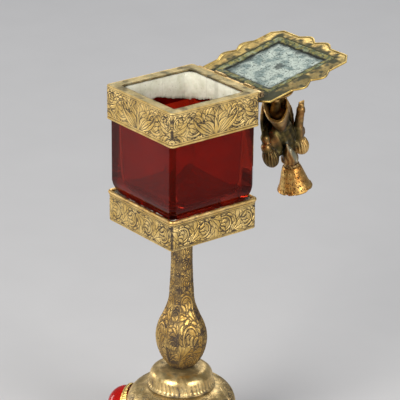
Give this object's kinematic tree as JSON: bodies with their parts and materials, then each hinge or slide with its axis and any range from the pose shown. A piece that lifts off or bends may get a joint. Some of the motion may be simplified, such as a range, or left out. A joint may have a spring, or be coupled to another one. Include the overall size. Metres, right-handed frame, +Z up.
{
  "type": "standing reliquary",
  "caption": "Standing reliquary of the monstrance family: a square ruby-glass vessel in engraved gilt bands on a stem and domed foot, with a hinged roof lid topped by a kneeling figure.",
  "frame": {"origin": "centre of the flat underside of the foot, on the stem's axis", "axes": "+Z up the stem, +X along the lid's hinge, +Y towards the hinge at the back of the vessel"},
  "size_m": [0.082, 0.1186, 0.1847],
  "materials": {
    "gilt_brass": "engraved and worn gilding over brass",
    "dark_gilt": "browned gilding over cast brass",
    "iron_fixing": "dull",
    "ruby_glass": "polished, deep red",
    "ruby_jewel": "polished cabochon",
    "plaster": "matt, off-white",
    "tarnished_plate": "silvered, with blue-green tarnish",
    "olive_frame": "dull olive tarnish"
  },
  "bodies": {
    "stand": {"box_floor": "gilt_brass", "collet_1": "gilt_brass", "collet_2": "gilt_brass", "collet_3": "gilt_brass", "collet_4": "gilt_brass", "floor_nut": "iron_fixing", "foot_base": "gilt_brass", "foot_bottom_plate": "dark_gilt", "foot_cap": "gilt_brass", "foot_dome": "gilt_brass", "foot_nut": "iron_fixing", "foot_washer": "dark_gilt", "glass_vessel": "ruby_glass", "hinge_pin": "dark_gilt", "jewel_1": "ruby_jewel", "jewel_2": "ruby_jewel", "jewel_3": "ruby_jewel", "jewel_4": "ruby_jewel", "lower_band": "gilt_brass", "lower_bedding": "plaster", "lower_lip": "gilt_brass", "rim_knuckle_1": "gilt_brass", "rim_knuckle_2": "gilt_brass", "rim_knuckle_3": "gilt_brass", "stem_baluster": "dark_gilt", "tie_rod": "iron_fixing", "top_rim": "gilt_brass", "upper_band": "gilt_brass", "upper_lining": "plaster"},
    "lid": {"lid_cover": "gilt_brass", "lid_inner_frame": "olive_frame", "lid_inner_plate": "tarnished_plate", "lid_knuckle_1": "gilt_brass", "lid_knuckle_2": "gilt_brass", "finial_stud": "dark_gilt", "finial_figure": "dark_gilt", "finial_basket": "gilt_brass"}
  },
  "joints": [
    {"name": "lid_hinge", "type": "hinge", "parent": "stand", "child": "lid", "pos_m": [0, 0.0255, 0.1758], "axis": [1, 0, 0], "range_deg": [0, 167.5]}
  ]
}
